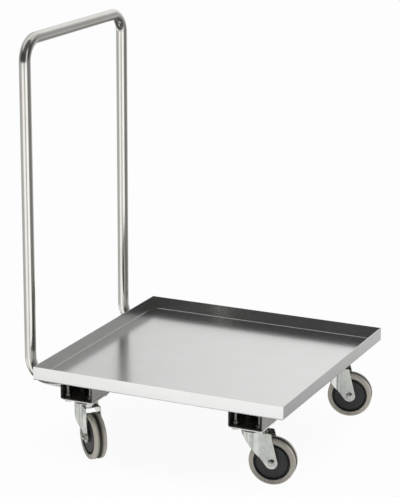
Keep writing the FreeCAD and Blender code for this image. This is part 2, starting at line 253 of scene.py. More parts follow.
ground = mix_values(room_tree, above(ground_rise), deep_tone, round_the_room(ground_tones))
low_walls = mix_values(room_tree, above(low_rise), ground, round_the_room(low_tones))
high_walls = mix_values(room_tree, above(high_rise), low_walls, round_the_room(high_tones))
room = mix_values(room_tree, above(ceiling_rise), high_walls, round_the_room(ceiling_tones))
print("room nodes:", len(room_tree.nodes))

# %% [markdown]
# ## The white sweep
# The camera sees a white paper sweep and not the room. A wall behind the trolley would have to be
# very large, and would throw light of its own, so the sweep is a second background that only some
# rays find: all that come from the camera, and mirrored rays that leave towards the back, where the
# sweep stands.

# %% Hang the sweep
sweep_share = ((-180, 0.3), (-177, 0), (138, 0), (146, 1), (172, 1), (180, 0.3))
sweep_rise = (-0.12, 0.04)

room_light = add_node(room_tree, "Background", {"Color": room})
sweep = add_node(room_tree, "Background", {"Color": grey(paper_white)})
sweep_wall = mix_values(room_tree, above(sweep_rise), 0, round_the_room(sweep_share))
rays = add_node(room_tree, "LightPath").outputs
mirrored = calculate(room_tree, "MAXIMUM", rays["Is Glossy Ray"], rays["Is Transmission Ray"])
mirrored = calculate(room_tree, "MULTIPLY", mirrored, sweep_wall)
shown = calculate(room_tree, "MAXIMUM", rays["Is Camera Ray"], mirrored)
seen = add_node(room_tree, "MixShader", {"Fac": shown, 1: room_light.outputs[0], 2: sweep.outputs[0]})
add_node(room_tree, "OutputWorld", {"Surface": seen.outputs[0]})
print("white of the sweep:", paper_white)

# %% [markdown]
# ## The lamp
# The room lights everything evenly. One large soft box overhead gives the rubber its top light and
# the floor its shadow. Metal would mirror it as a square patch, so the lamp is hidden from
# reflections: the rings already hold what the metal has to show.

# %% Hang the lamp
lamp_place = Vector((0.35, 0.0, 3.0))
lamp_aim = Vector((0, 0, 0.2))
lamp_side = 1.5
lamp_power = 115

lamp_data = bpy.data.lights.new("key_box", "AREA")
lamp_data.shape = "SQUARE"
lamp_data.size = lamp_side
lamp_data.energy = lamp_power
lamp = bpy.data.objects.new("key_box", lamp_data)
lamp.location = lamp_place
lamp.rotation_euler = (lamp_aim - lamp_place).to_track_quat("-Z", "Y").to_euler()
lamp.visible_glossy = False
bpy.context.scene.collection.objects.link(lamp)
print("lamp height in m:", lamp_place.z)

# %% [markdown]
# ## Effects that several finishes share
# Three effects turn up again and again: fine lines drawn along a sheet or a tube, the cloudy bloom
# of zinc plating, and dust that settles on what faces up. Each could be built again in every finish,
# but then a better one has to be copied by hand, so each is a node group that is built once.

# %% Start a group
def new_group(name, inputs, outputs):
    """An empty group. An input with three numbers is a vector, and all else is a single value."""
    group = bpy.data.node_groups.new(name, "ShaderNodeTree")
    for label, usual in inputs.items():
        kind = "NodeSocketVector" if isinstance(usual, tuple) else "NodeSocketFloat"
        socket = group.interface.new_socket(label, in_out="INPUT", socket_type=kind)
        socket.default_value = usual
    for label in outputs:
        group.interface.new_socket(label, in_out="OUTPUT", socket_type="NodeSocketFloat")
    entry = group.nodes.new("NodeGroupInput")
    leave = group.nodes.new("NodeGroupOutput")
    return group, entry.outputs, leave.inputs


def use_group(tree, group, inputs):
    return add_node(tree, "Group", inputs, node_tree=group).outputs


# %% Drawn lines
# The lines run along the third axis of the place that the finish hands in.
cloud_size = 70 * mm
drawn_lines, given, wanted = new_group(
    "drawn_lines", {"Place": (0.0, 0.0, 0.0), "Length": 0.1, "Width": 0.001}, ("Lines", "Clouds"))
scale = add_node(drawn_lines, "CombineXYZ", {
    "X": given["Width"], "Y": given["Width"], "Z": given["Length"]})
stretched = add_node(drawn_lines, "VectorMath", {
    0: given["Place"], 1: scale.outputs[0]}, operation="DIVIDE")
lines = add_node(drawn_lines, "TexNoise", {
    "Vector": stretched.outputs[0], "Scale": 1, "Detail": 3})
clouds = add_node(drawn_lines, "TexNoise", {
    "Vector": given["Place"], "Scale": 1 / cloud_size, "Detail": 2})
drawn_lines.links.new(lines.outputs["Fac"], wanted["Lines"])
drawn_lines.links.new(clouds.outputs["Fac"], wanted["Clouds"])
print("group:", drawn_lines.name)

# %% Zinc bloom
grain_per_bloom = 12
zinc_bloom, given, wanted = new_group("zinc_bloom", {"Size": 0.01}, ("Bloom", "Grain"))
place = add_node(zinc_bloom, "TexCoord").outputs["Object"]
fineness = calculate(zinc_bloom, "DIVIDE", 1, given["Size"])
finer = calculate(zinc_bloom, "MULTIPLY", fineness, grain_per_bloom)
bloom = add_node(zinc_bloom, "TexNoise", {"Vector": place, "Scale": fineness, "Detail": 4})
grain = add_node(zinc_bloom, "TexVoronoi", {"Vector": place, "Scale": finer})
zinc_bloom.links.new(bloom.outputs["Fac"], wanted["Bloom"])
zinc_bloom.links.new(grain.outputs["Distance"], wanted["Grain"])
print("group:", zinc_bloom.name)

# %% Settled dust
# Dust starts on faces that lean a little past upright and is full on those that face straight up.
dust_start, dust_full = -0.4, 1.0
speckles_per_patch = 25
settled_dust, given, wanted = new_group("settled_dust", {"Size": 0.02}, ("Dust", "Speckle"))
here = add_node(settled_dust, "TexCoord").outputs
fineness = calculate(settled_dust, "DIVIDE", 1, given["Size"])
finer = calculate(settled_dust, "MULTIPLY", fineness, speckles_per_patch)
patches = add_node(settled_dust, "TexNoise", {
    "Vector": here["Object"], "Scale": fineness, "Detail": 5})
speckle = add_node(settled_dust, "TexNoise", {
    "Vector": here["Object"], "Scale": finer, "Detail": 2})
up = add_node(settled_dust, "SeparateXYZ", {0: here["Normal"]}).outputs["Z"]
facing_up = add_node(settled_dust, "MapRange", {
    "Value": up, "From Min": dust_start, "From Max": dust_full}).outputs["Result"]
dust = calculate(settled_dust, "MULTIPLY", patches.outputs["Fac"], facing_up)
settled_dust.links.new(dust, wanted["Dust"])
settled_dust.links.new(speckle.outputs["Fac"], wanted["Speckle"])
print("group:", settled_dust.name)

# %% [markdown]
# ## A recipe for a finish
# A single colour looks like plastic, whatever it is meant to be. Every finish here starts from the
# same small recipe instead: a base colour that drifts between two tones, a roughness that drifts
# between two values, and a little relief.

# %% Steps of the recipe
noise_low, noise_high = 0.3, 0.7


def spread(tree, value, low, high):
    """Turn a noise into a value that drifts between two limits."""
    return add_node(tree, "MapRange", {
        "Value": value, "From Min": noise_low, "From Max": noise_high, "To Min": low, "To Max": high,
    }).outputs["Result"]


def new_finish(name, metallic):
    material = bpy.data.materials.new(name)
    material.use_nodes = True
    shader = material.node_tree.nodes["Principled BSDF"]
    shader.inputs["Metallic"].default_value = metallic
    return material, material.node_tree, shader


def colour_between(tree, shader, factor, first, second):
    blended = mix_colours(tree, spread(tree, factor, 0, 1), (*first, 1), (*second, 1))
    tree.links.new(blended, shader.inputs["Base Color"])


def roughness_between(tree, shader, factor, low, high):
    tree.links.new(spread(tree, factor, low, high), shader.inputs["Roughness"])


def relief(tree, shader, height, depth):
    bump = add_node(tree, "Bump", {"Height": height, "Distance": depth, "Strength": 1})
    tree.links.new(bump.outputs["Normal"], shader.inputs["Normal"])


# %% [markdown]
# ## Steel sheet
# The tray and the channels were folded from flat blanks, so the rolling lines of the sheet run up
# their side walls. Plain object coordinates would smear the lines there, and an unwrapped map would
# need a seam at each fold. So the walls' coordinates are laid flat again by their normal. Racks slide
# over the tray's floor, which is a little duller than its walls. The channels' end faces are painted near-black.

# %% Finish the sheet
sheet_relief = 0.004 * mm


def facing_along(tree, axis):
    """How far a face looks along an axis, to either side: 0 is not at all and 1 is straight."""
    normal = add_node(tree, "TexCoord").outputs["Normal"]
    return calculate(tree, "ABSOLUTE", add_node(tree, "SeparateXYZ", {0: normal}).outputs[axis])


def laid_flat(tree):
    """The place on the flat blank: across the lines first, and along them last."""
    place = add_node(tree, "TexCoord").outputs["Object"]
    spot = add_node(tree, "SeparateXYZ", {0: place}).outputs
    rise_x = calculate(tree, "MULTIPLY", spot["Z"], facing_along(tree, "X"))
    rise_y = calculate(tree, "MULTIPLY", spot["Z"], facing_along(tree, "Y"))
    along = calculate(tree, "ADD", spot["X"], rise_x)
    across = calculate(tree, "ADD", spot["Y"], rise_y)
    return add_node(tree, "CombineXYZ", {"X": across, "Z": along}).outputs[0]


def sheet_finish(name, dark, light, smooth, rough, line_length, line_width, scuffed=0):
    material, tree, shader = new_finish(name, 1)
    grain = use_group(tree, drawn_lines, {
        "Place": laid_flat(tree), "Length": line_length, "Width": line_width})
    colour_between(tree, shader, grain["Clouds"], dark, light)
    scuffs = calculate(tree, "MULTIPLY", facing_along(tree, "Z"), scuffed)
    drawn = spread(tree, grain["Lines"], smooth, rough)
    tree.links.new(calculate(tree, "ADD", drawn, scuffs), shader.inputs["Roughness"])
    relief(tree, shader, grain["Lines"], sheet_relief)
    return material


tray_steel = sheet_finish(
    "brushed_sheet", dark=(0.725, 0.725, 0.715), light=(0.745, 0.745, 0.74), smooth=0.12, rough=0.19,
    line_length=90 * mm, line_width=0.8 * mm, scuffed=0.04)
print("tray finish:", tray_steel.name)

# %% Paint the channels' end faces near-black
# Faces that look along the channels, which are their ends, are painted near-black.
end_face_black = (0.05, 0.048, 0.045, 1)
end_black_start, end_black_full = 0.8, 0.95

channel_steel = sheet_finish(
    "rolled_channel", dark=(0.36, 0.34, 0.32), light=(0.46, 0.44, 0.42), smooth=0.32, rough=0.45,
    line_length=60 * mm, line_width=1.2 * mm)
tree = channel_steel.node_tree
colour = tree.nodes["Principled BSDF"].inputs["Base Color"]
rolled = colour.links[0].from_socket
end_black_share = add_node(tree, "MapRange", {
    "Value": facing_along(tree, "Y"), "From Min": end_black_start, "From Max": end_black_full,
}).outputs["Result"]
tree.links.new(mix_colours(tree, end_black_share, rolled, end_face_black), colour)
print("channel finish:", channel_steel.name)

# %% [markdown]
# ## Polished tube
# The handle was ground and polished along its length. Object coordinates would run straight through
# its bends, so the finish reads an attribute that the handle will carry: where each point lay before
# the tube was bent.

# %% Finish the tube
tube_line_length, tube_line_width, tube_relief = 120 * mm, 0.9 * mm, 0.002 * mm
tube_dark, tube_light = (0.66, 0.64, 0.60), (0.705, 0.69, 0.66)
tube_smooth, tube_rough = 0.11, 0.18

tube_steel, tree, shader = new_finish("polished_tube", 1)
straight_place = add_node(tree, "Attribute", attribute_name="straight").outputs["Vector"]
grain = use_group(tree, drawn_lines, {
    "Place": straight_place, "Length": tube_line_length, "Width": tube_line_width})
colour_between(tree, shader, grain["Clouds"], tube_dark, tube_light)
roughness_between(tree, shader, grain["Lines"], tube_smooth, tube_rough)
relief(tree, shader, grain["Lines"], tube_relief)
print("handle finish:", tube_steel.name)

# %% [markdown]
# ## Zinc, bearing steel and weld metal
# Forks and bolts are zinc plated, with a faint green in the large pressings. The bloom of the plating
# sets both the tone and the gloss, because the milky patches are also the duller ones. The nuts and
# washers in the channels are given a much darker and duller zinc. Greased bearings and weld metal are
# mottled in the same way, so they come from the same recipe.

# %% Finish the zinc
plating_relief = 0.002 * mm


def zinc_finish(name, dark, light, smooth, rough, size):
    material, tree, shader = new_finish(name, 1)
    plating = use_group(tree, zinc_bloom, {"Size": size})
    colour_between(tree, shader, plating["Bloom"], dark, light)
    roughness_between(tree, shader, plating["Bloom"], smooth, rough)
    relief(tree, shader, plating["Grain"], plating_relief)
    return material


zinc_pressing = zinc_finish(
    "plated_pressing", dark=(0.54, 0.56, 0.525), light=(0.63, 0.65, 0.61), smooth=0.10, rough=0.18,
    size=12 * mm)
zinc_fastener = zinc_finish(
    "plated_fastener", dark=(0.54, 0.54, 0.51), light=(0.66, 0.66, 0.64), smooth=0.14, rough=0.24,
    size=6 * mm)
# A much darker zinc colour for the nuts and washers in the channels.
dark_dull_zinc = zinc_finish(
    "dark_dull_zinc", dark=(0.10, 0.10, 0.095), light=(0.24, 0.24, 0.23), smooth=0.25, rough=0.4,
    size=6 * mm)
bearing_steel = zinc_finish(
    "greased_bearing", dark=(0.35, 0.33, 0.30), light=(0.62, 0.62, 0.62), smooth=0.12, rough=0.25,
    size=8 * mm)
weld_metal = zinc_finish(
    "weld_metal", dark=(0.36, 0.33, 0.31), light=(0.58, 0.56, 0.54), smooth=0.30, rough=0.5,
    size=4 * mm)
zinc_family = (zinc_pressing, zinc_fastener, dark_dull_zinc, bearing_steel, weld_metal)
print("zinc family:", [finish.name for finish in zinc_family])

# %% [markdown]
# ## Rubber and plastic
# Tyres, hubs and seals are mouldings with a fine speckle, and dust lies on what faces up. A tyre's
# groove is painted dark, partly dirt and partly painted shade of the deep groove and of the fork above,
# fading out over the tread all round the wheel. Object coordinates can't tell the groove from the sides
# on a wheel that stands at an angle, so the tyre carries each point's place on the unturned wheel as an
# attribute, and the finish reads that.

# %% Finish the mouldings
def moulded_finish(name, clean, dusty, smooth, rough, patch_size, depth):
    material, tree, shader = new_finish(name, 0)
    dust = use_group(tree, settled_dust, {"Size": patch_size})
    colour_between(tree, shader, dust["Dust"], clean, dusty)
    roughness_between(tree, shader, dust["Speckle"], smooth, rough)
    relief(tree, shader, dust["Speckle"], depth)
    return material


hub_plastic = moulded_finish(
    "dark_hub", clean=(0.03, 0.03, 0.033), dusty=(0.07, 0.068, 0.071), smooth=0.36, rough=0.5,
    patch_size=15 * mm, depth=0.03 * mm)
seal_rubber = moulded_finish(
    "black_seal", clean=(0.010, 0.010, 0.010), dusty=(0.03, 0.03, 0.03), smooth=0.5, rough=0.65,
    patch_size=10 * mm, depth=0.02 * mm)
tyre_rubber = moulded_finish(
    "grey_tyre", clean=(0.61, 0.57, 0.50), dusty=(0.69, 0.65, 0.575), smooth=0.42, rough=0.58,
    patch_size=20 * mm, depth=0.02 * mm)
print("mouldings:", hub_plastic.name, seal_rubber.name, tyre_rubber.name)

# %% Paint dirt and shade into the tread
# Dirt and painted shade: near-black in the groove, fading out over the tread beside it.
dirt_and_shade = (0.045, 0.04, 0.03, 1)
dirt_and_shade_full, dirt_and_shade_end = 1.9 * mm, 8.5 * mm

tree = tyre_rubber.node_tree
colour = tree.nodes["Principled BSDF"].inputs["Base Color"]
rubber = colour.links[0].from_socket
wheel_place = add_node(tree, "Attribute", attribute_name="turned").outputs["Vector"]
along_axle = add_node(tree, "SeparateXYZ", {0: wheel_place}).outputs["Y"]
beside = add_node(tree, "MapRange", {
    "Value": calculate(tree, "ABSOLUTE", along_axle), "From Min": dirt_and_shade_full, "From Max": dirt_and_shade_end,
}).outputs["Result"]
tree.links.new(mix_colours(tree, beside, dirt_and_shade, rubber), colour)
print("dirt ends from the groove's middle in mm:", round(dirt_and_shade_end / mm, 1))

# %% [markdown]
# ## Dressing the solids
# Every solid names the material it is made of, and the finishes are handed out by that name. The
# solids that later get a modelled piece in their place are dressed too, which does no harm. The
# washers are the one exception: they share the bolts' zinc by name, and get the nuts' darker zinc.

# %% Dress the solids
finish_of_slot = {
    "tray_steel": tray_steel, "tube_steel": tube_steel, "channel_steel": channel_steel,
    "zinc_pressing": zinc_pressing, "zinc_fastener": zinc_fastener, "bearing_steel": bearing_steel,
    "seal_rubber": seal_rubber, "hub_plastic": hub_plastic, "tyre_rubber": tyre_rubber,
}
for part in frame["record"]["subparts"]:
    solid = frame["nodes"][part["node"]]
    solid.data.materials.clear()
    solid.data.materials.append(finish_of_slot[part["material_slot"]])
frame["nodes"]["caster_washers"].data.materials[0] = dark_dull_zinc

# %% [markdown]
# ## Working by hand
# The pieces below are modelled as at the screen: add a primitive, open it in edit mode, select by
# place, and extrude, spin or bevel. Six helpers keep that short. One opens a primitive with nothing
# else selected, one selects, and one extrudes. One closes the piece with its normals outward, one
# applies a modifier, and the last evens out the shading.

# %% Hand tools
merge_distance = 0.002 * mm


def open_primitive(add, name, **settings):
    bpy.ops.object.select_all(action="DESELECT")
    add(**settings)
    bpy.ops.object.transform_apply(location=True, rotation=True, scale=True)
    piece = bpy.context.object
    piece.name = name
    bpy.ops.object.mode_set(mode="EDIT")
    bpy.ops.mesh.select_all(action="SELECT")
    return piece


def pick(piece, kind, test):
    """Select the vertices, edges or faces that pass a test."""
    bpy.ops.mesh.select_mode(type=kind)
    bpy.ops.mesh.select_all(action="DESELECT")
    shape = bmesh.from_edit_mesh(piece.data)
    parts = {"VERT": shape.verts, "EDGE": shape.edges, "FACE": shape.faces}[kind]
    for part in [part for part in parts if test(part)]:
        part.select_set(True)
    bmesh.update_edit_mesh(piece.data)


def extrude(*step):
    bpy.ops.mesh.extrude_region_move(TRANSFORM_OT_translate={"value": step})


def close_piece(smooth_angle=30):
    bpy.ops.mesh.select_mode(type="VERT")
    bpy.ops.mesh.select_all(action="SELECT")
    bpy.ops.mesh.remove_doubles(threshold=merge_distance)
    bpy.ops.mesh.delete_loose()
    bpy.ops.mesh.select_all(action="SELECT")
    bpy.ops.mesh.normals_make_consistent(inside=False)
    bpy.ops.object.mode_set(mode="OBJECT")
    bpy.ops.object.shade_smooth_by_angle(angle=math.radians(smooth_angle))


def apply_modifier(piece, kind, **settings):
    modifier = piece.modifiers.new(kind.lower(), kind)
    for name, value in settings.items():
        setattr(modifier, name, value)
    bpy.context.view_layer.objects.active = piece
    bpy.ops.object.modifier_apply(modifier=modifier.name)


def even_shading(piece):
    """Keep large flat faces flat beside their bevels: a face counts by its area in the shading."""
    apply_modifier(piece, "WEIGHTED_NORMAL", keep_sharp=True)


# %% [markdown]
# ## The push handle
# The real handle is one length of 25 mm tube, bent four times. A curve with a bevel would be quick,
# but its rings bunch up in the bends. Drawing it as the bender does is cleaner: a ring is extruded
# along each straight run and spun through each bend. A short run beside each bend of an upright
# keeps the bend's shading from spreading along the long faces.

# %% Measure the bends
tube_radius = 12.5 * mm
tube_wall = 1.5 * mm
bend_radius = 47 * mm
short_run = 45 * mm

low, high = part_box("handle")
foot_x = high.x
upright_x = low.x + tube_radius
front_y = low.y + tube_radius
back_y = high.y - tube_radius
foot_z = low.z + tube_radius
top_z = high.z - tube_radius
bend_x = upright_x + bend_radius
low_bend_z = foot_z + bend_radius
high_bend_z = top_z - bend_radius
long_run = high_bend_z - low_bend_z - 2 * short_run
print("between the uprights in mm:", round((back_y - front_y) / mm))

# %% Bend the tube
tube_sides = 48
bend_steps = 14


def bend(centre, axis):
    """Spin the open ring a quarter turn about a line. A negative angle turns it counterclockwise."""
    bpy.ops.mesh.spin(steps=bend_steps, angle=-math.pi / 2, center=centre, axis=axis)


handle = open_primitive(
    bpy.ops.mesh.primitive_circle_add, "push_handle", vertices=tube_sides, radius=tube_radius,
    location=(foot_x, front_y, foot_z), rotation=(0, math.pi / 2, 0))
extrude(bend_x - foot_x, 0, 0)
bend((bend_x, front_y, low_bend_z), (0, 1, 0))
for length in (short_run, long_run, short_run):
    extrude(0, 0, length)
bend((upright_x, front_y + bend_radius, high_bend_z), (-1, 0, 0))
extrude(0, back_y - front_y - 2 * bend_radius, 0)
bend((upright_x, back_y - bend_radius, high_bend_z), (-1, 0, 0))
for length in (short_run, long_run, short_run):
    extrude(0, 0, -length)
bend((bend_x, back_y, low_bend_z), (0, -1, 0))
extrude(foot_x - bend_x, 0, 0)
bpy.ops.object.mode_set(mode="OBJECT")
print("rings along the tube:", len(handle.data.vertices) // tube_sides)

# %% [markdown]
# ## The tube before it was bent
# The polishing lines have to follow the bends, so each ring remembers where it would lie on the
# straight tube: round the tube by its side, and along it by the way from ring to ring. Only then
# does the tube get its wall, because Solidify hands the attribute on to the inner side.

# %% Remember the straight tube
def ring_centres(mesh, sides):
    spots = [vertex.co for vertex in mesh.vertices]
    rings = [spots[first:first + sides] for first in range(0, len(spots), sides)]
    return [sum(ring, Vector()) / sides for ring in rings]


centres = ring_centres(handle.data, tube_sides)
straight = handle.data.attributes.new("straight", "FLOAT_VECTOR", "POINT")
along = 0
for ring, centre in enumerate(centres):
    along += (centre - centres[max(ring - 1, 0)]).length
    for side in range(tube_sides):
        angle = 2 * math.pi * side / tube_sides
        spot = (tube_radius * math.cos(angle), tube_radius * math.sin(angle), along)
        straight.data[ring * tube_sides + side].vector = spot
print("tube length in mm:", round(along / mm))

# %% Give the tube its wall
bpy.ops.object.mode_set(mode="EDIT")
close_piece()
apply_modifier(handle, "SOLIDIFY", thickness=tube_wall, offset=-1)
handle.data.materials.append(tube_steel)
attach(handle, "chassis")
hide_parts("handle")
print("handle faces:", len(handle.data.polygons))

# %% [markdown]
# ## The tray
# The tray is folded from one sheet, and its corners are closed by welds that are ground flush. It
# could be unfolded and bent wall by wall, but the result is a box without its lid, so it starts as
# one: the four folds are bevelled, a wall is added inwards, and the cut rim is broken with a fine
# bevel that catches the light.

# %% Fold the tray
tray_sheet = 1.5 * mm
tray_fold = 2.6 * mm
fold_steps = 6

tray = open_primitive(
    bpy.ops.mesh.primitive_cube_add, "folded_tray", size=1,
    location=(tray_low + tray_high) / 2, scale=tray_high - tray_low)
pick(tray, "FACE", lambda face: round(face.normal.z) == 1)
bpy.ops.mesh.delete(type="ONLY_FACE")
pick(tray, "EDGE", lambda edge: max(vertex.co.z for vertex in edge.verts) < tray_low.z + tray_fold)
bpy.ops.mesh.bevel(offset=tray_fold, segments=fold_steps, affect="EDGES")
close_piece()
apply_modifier(tray, "SOLIDIFY", thickness=tray_sheet, offset=-1, use_even_offset=True)
print("tray faces before its rim:", len(tray.data.polygons))

# %% Break the rim
rim_break = 0.25 * mm
rim_steps = 2
sharp_angle = math.pi / 4


def on_rim(edge):
    """A rim edge lies along the top and has the flat rim on one side and a wall on the other."""
    on_top = all(vertex.co.z > tray_high.z - rim_break for vertex in edge.verts)
    return on_top and edge.calc_face_angle(0) > sharp_angle


bpy.ops.object.mode_set(mode="EDIT")
pick(tray, "EDGE", on_rim)
bpy.ops.mesh.bevel(offset=rim_break, segments=rim_steps, affect="EDGES")
close_piece()
even_shading(tray)
tray.data.materials.append(tray_steel)
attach(tray, "chassis")
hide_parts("tray")
print("tray faces:", len(tray.data.polygons))

# %% [markdown]
# ## The wheels
# A wheel is two mouldings: a dark plastic hub and a grey rubber tyre round it. A torus and a cylinder
# come close, but miss the groove, the bead and the draft of a moulding. Both are turned forms, so
# each is drawn as a half section, its corners are rounded, and the section is spun about the axle. A
# single vertex that is extruded from point to point draws the section.

# %% Draw and spin a section
touching = 0.01 * mm


def section_spots(points):
    """Points of radius and width, in millimetres, as places in the section's plane."""
    return [Vector((radius, width, 0)) * mm for radius, width in points]


def draw_section(name, points, closed=True):
    """A line through points of radius and width, in edit mode."""
    spots = section_spots(points)
    piece = open_primitive(bpy.ops.mesh.primitive_plane_add, name, size=mm)
    bpy.ops.mesh.merge(type="CENTER")
    bpy.ops.transform.translate(value=spots[0])
    onward = spots[1:] + spots[:1] if closed else spots[1:]
    for spot, last in zip(onward, spots):
        extrude(*(spot - last))
    bpy.ops.mesh.select_all(action="SELECT")
    bpy.ops.mesh.remove_doubles(threshold=merge_distance)
    return piece


def round_corners(piece, points, radius, segments):
    spots = section_spots(points)
    pick(piece, "VERT", lambda vertex: min((vertex.co - spot).length for spot in spots) < touching)
    bpy.ops.mesh.bevel(offset=radius * mm, segments=segments, affect="VERTICES")


def spin_section(piece, steps):
    bpy.ops.mesh.select_all(action="SELECT")
    bpy.ops.mesh.spin(steps=steps, angle=2 * math.pi, center=(0, 0, 0), axis=(0, 1, 0))
    close_piece()
    even_shading(piece)


def both_sides(half):
    """A half section and its mirror image across the middle of the wheel."""
    return half + [(radius, -width) for radius, width in reversed(half)]


# %% Turn the tyre
# Points of radius and half width, in millimetres, from the bore outwards
wheel_steps = 96
tyre_bore = [(40.1, 13.0)]
tyre_bead = [(41.4, 13.1), (41.8, 13.5), (43.4, 13.6), (43.8, 13.3)]
tyre_side = [(45.5, 14.0)]
tyre_shoulder = [(50.0, 14.0)]
tyre_lips = [(50.0, 3.0), (45.0, 3.0)]
shoulder_radius, shoulder_steps = 3.0, 6
lip_radius, lip_steps = 0.6, 3

tyre_half = tyre_bore + tyre_bead + tyre_side + tyre_shoulder + tyre_lips
tyre = draw_section("tyre", both_sides(tyre_half))
round_corners(tyre, both_sides(tyre_shoulder), shoulder_radius, shoulder_steps)
round_corners(tyre, both_sides(tyre_lips), lip_radius, lip_steps)
spin_section(tyre, wheel_steps)
turned = tyre.data.attributes.new("turned", "FLOAT_VECTOR", "POINT")
for vertex, spot in zip(tyre.data.vertices, turned.data):
    spot.vector = vertex.co
print("tyre faces:", len(tyre.data.polygons))

# %% Turn the hub
# The hub's face drops from the boss to a flat disc, and a groove runs round it inside the rim.
hub_bore, boss_edge, boss_foot = (6.1, 15.2), (12.0, 15.2), (13.5, 12.0)
groove_edge, groove_floor = (34.0, 12.0), [(35.0, 8.0), (37.5, 8.0)]
rim_edge, tyre_seat = (38.5, 12.9), (40.0, 12.9)
hub_edge_radius, hub_hollow_radius, hub_corner_steps = 0.7, 0.6, 3

hub_half = [hub_bore, boss_edge, boss_foot, groove_edge, *groove_floor, rim_edge, tyre_seat]
hub = draw_section("hub", both_sides(hub_half))
hub_edges = both_sides([boss_edge, groove_edge, rim_edge])
hub_hollows = both_sides([boss_foot, *groove_floor])
round_corners(hub, hub_edges, hub_edge_radius, hub_corner_steps)
round_corners(hub, hub_hollows, hub_hollow_radius, hub_corner_steps)
spin_section(hub, wheel_steps)
print("hub faces:", len(hub.data.polygons))

# %% [markdown]
# ## A wheel for each caster
# One wheel was made at the origin with its axle along Y. The casters stand at different turns, so
# each gets a copy with a mesh of its own, turned and moved to the axle that the joint names. The
# place goes into the mesh, and the object stays at the origin as the solids do.

# %% Fit the wheels
joints = {joint["name"]: joint for joint in frame["joints"]}


def axle_place(corner):
    """Where a caster's axle lies: its middle, and its turn about the upright."""
    joint = joints[corner + "_roll"]
    axis = Vector(joint["axis"])
    turn = Matrix.Rotation(math.atan2(-axis.x, axis.y), 4, "Z")
    return Matrix.Translation(Vector(joint["pos_m"])) @ turn


def fit_copy(master, name, place, body, node, finish):
    piece = bpy.data.objects.new(name, master.data.copy())
    piece.data.transform(place)
    piece.data.materials.append(finish)
    bpy.context.scene.collection.objects.link(piece)
    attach(piece, body)
    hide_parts(node)


for corner in corners:
    place = axle_place(corner)
    wheel = corner + "_wheel"
    fit_copy(tyre, corner + "_moulded_tyre", place, wheel, corner + "_tyre", tyre_rubber)
    fit_copy(hub, corner + "_moulded_hub", place, wheel, corner + "_hub", hub_plastic)
    print(corner, "axle in mm:", [round(side / mm) for side in place.translation])
bpy.data.objects.remove(tyre)
bpy.data.objects.remove(hub)

# %% [markdown]
# ## Hexagon heads
# A hex head is a prism whose corners are turned off at an angle, which leaves an arc on every flat.
# Bevelling the rim can't draw those arcs, so the prism is intersected with a turned cone. Each
# fastener is made once, along Y, and copied to where the solids have it.

# %% Turn the corners off a prism
# All in millimetres. The margin is how far a cutting shape reaches past the piece.
hex_width = 13.0
hex_corner = hex_width / math.sqrt(3)
chamfer_height = 0.9
chamfer_radius = 6.1
turned_steps = 48
margin = 1
print("across the corners in mm:", round(2 * hex_corner, 2))


def combine(piece, tool, operation):
    """Add, cut or keep what lies inside another shape, and throw that shape away."""
    apply_modifier(piece, "BOOLEAN", object=tool, operation=operation, solver="EXACT")
    bpy.data.objects.remove(tool)


def turned_shape(name, points):
    shape = draw_section(name, points)
    spin_section(shape, turned_steps)
    return shape


def hex_prism(name, low, high, low_chamfer, high_chamfer):
    """A hexagon bar along Y with its corners turned off at one end or both."""
    prism = open_primitive(
        bpy.ops.mesh.primitive_cylinder_add, name, vertices=6, radius=hex_corner * mm,
        depth=(high - low) * mm, location=(0, (low + high) / 2 * mm, 0), rotation=(-math.pi / 2, 0, 0))
    close_piece()
    wide = hex_corner + margin
    drop = (wide - chamfer_radius) * chamfer_height / (hex_corner - chamfer_radius)
    low_end = [(wide, low - margin)]
    if low_chamfer:
        low_end = [(chamfer_radius, low), (wide, low + drop)]
    high_end = [(wide, high + margin)]
    if high_chamfer:
        high_end = [(wide, high - drop), (chamfer_radius, high)]
    ends = [(0, low_end[0][1])] + low_end + high_end + [(0, high_end[-1][1])]
    combine(prism, turned_shape("cutter", ends), "INTERSECT")
    return prism


# %% [markdown]
# ## Threads
# A thread could be faked with bump, but its edge against the light would stay straight. Here one
# tooth is wound along the bolt by the Screw modifier. It starts and ends past the bolt, so that both
# ends can be cut flat and closed, and the last turn at the tip is drawn in.

# %% Wind a thread
# Radii and pitch in millimetres. The crest is a small share of the pitch.
thread_crest, thread_root, thread_pitch = 3.95, 3.3, 1.25
thread_lead = 1.37 * thread_pitch
crest_start, crest_end = 0.45 * thread_pitch, 0.55 * thread_pitch
thread_steps = 24
spare_turns = 2
tip_share = 0.85
cut_tolerance = 0.0001 * mm
print("thread depth in mm:", round(thread_crest - thread_root, 2))


def wind_thread(name, low, high):
    start = low - thread_lead
    thread = draw_section(name, [
        (thread_root, start), (thread_crest, start + crest_start), (thread_crest, start + crest_end),
        (thread_root, start + thread_pitch),
    ], closed=False)
    bpy.ops.object.mode_set(mode="OBJECT")
    turns = math.ceil((high - low) / thread_pitch) + spare_turns
    apply_modifier(
        thread, "SCREW", axis="Y", screw_offset=thread_pitch * mm, steps=thread_steps,
        render_steps=thread_steps, iterations=turns)
    bpy.ops.object.mode_set(mode="EDIT")
    for end, side in ((low, "clear_inner"), (high, "clear_outer")):
        bpy.ops.mesh.select_all(action="SELECT")
        bpy.ops.mesh.remove_doubles(threshold=merge_distance)
        bpy.ops.mesh.bisect(
            plane_co=(0, end * mm, 0), plane_no=(0, 1, 0), threshold=cut_tolerance, use_fill=True,
            **{side: True})
    close_piece()
    return thread


def draw_in_tip(piece, end):
    """Draw the last turn of a thread in towards the axis."""
    bpy.ops.object.mode_set(mode="EDIT")
    pick(piece, "VERT", lambda vertex: abs(vertex.co.y - end * mm) < touching)
    bpy.ops.transform.resize(value=(tip_share, 1, tip_share), center_override=(0, end * mm, 0))
    close_piece()


